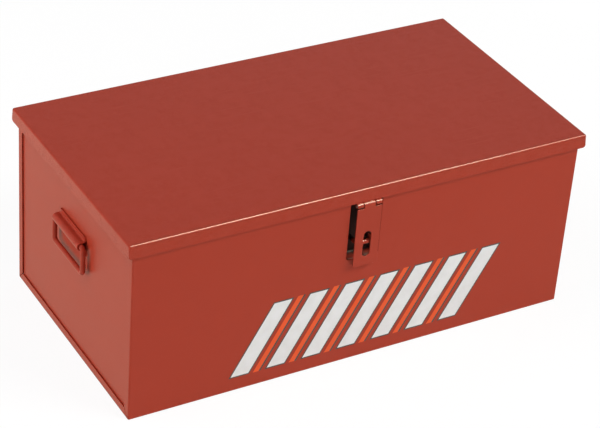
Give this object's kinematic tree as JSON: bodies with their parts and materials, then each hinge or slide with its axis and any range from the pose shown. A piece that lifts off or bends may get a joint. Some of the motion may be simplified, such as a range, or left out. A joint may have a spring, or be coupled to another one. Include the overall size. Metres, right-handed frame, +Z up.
{
  "type": "jobsite storage box",
  "caption": "Low rectangular steel tool chest with a flanged hinged lid, slotted hasp over a recessed padlock staple, and a drop handle on each end.",
  "frame": {"origin": "centre of the flat underside of the body", "axes": "+Z up, -Y the front with the hasp, +X along the front to the right as seen from the front"},
  "size_m": [0.7712, 0.4143, 0.3048],
  "materials": {
    "body_enamel": "semi-gloss baked enamel, red",
    "lid_enamel": "semi-gloss baked enamel, red",
    "hasp_enamel": "semi-gloss baked enamel, red",
    "handle_enamel": "semi-gloss baked enamel, red",
    "bright_steel": "plain drawn rod"
  },
  "bodies": {
    "chest": {"body_wrap": "body_enamel", "left_end_pan": "body_enamel", "right_end_pan": "body_enamel", "lock_recess": "body_enamel", "lock_staple": "body_enamel", "hinge_body_leaf": "body_enamel", "hinge_pin": "bright_steel", "left_handle_bracket": "handle_enamel", "right_handle_bracket": "handle_enamel"},
    "lid": {"lid_pan": "lid_enamel", "lid_channel": "lid_enamel", "hinge_lid_leaf": "lid_enamel", "hasp_leaf": "lid_enamel", "hasp_pin": "bright_steel"},
    "hasp": {"hasp_strap": "hasp_enamel"},
    "left_bail": {"left_handle_bail": "handle_enamel"},
    "right_bail": {"right_handle_bail": "handle_enamel"}
  },
  "joints": [
    {"name": "lid_hinge", "type": "hinge", "parent": "chest", "child": "lid", "pos_m": [0, 0.2027, 0.27875], "axis": [-1, 0, 0], "range_deg": [0, 180]},
    {"name": "hasp_swing", "type": "hinge", "parent": "lid", "child": "hasp", "pos_m": [0, -0.20385, 0.2785], "axis": [-1, 0, 0], "range_deg": [0, 110]},
    {"name": "left_bail_swing", "type": "hinge", "parent": "chest", "child": "left_bail", "pos_m": [-0.3786, 0, 0.2065], "axis": [0, 1, 0], "range_deg": [-5, 185]},
    {"name": "right_bail_swing", "type": "hinge", "parent": "chest", "child": "right_bail", "pos_m": [0.3786, 0, 0.2065], "axis": [0, -1, 0], "range_deg": [-5, 185]}
  ]
}
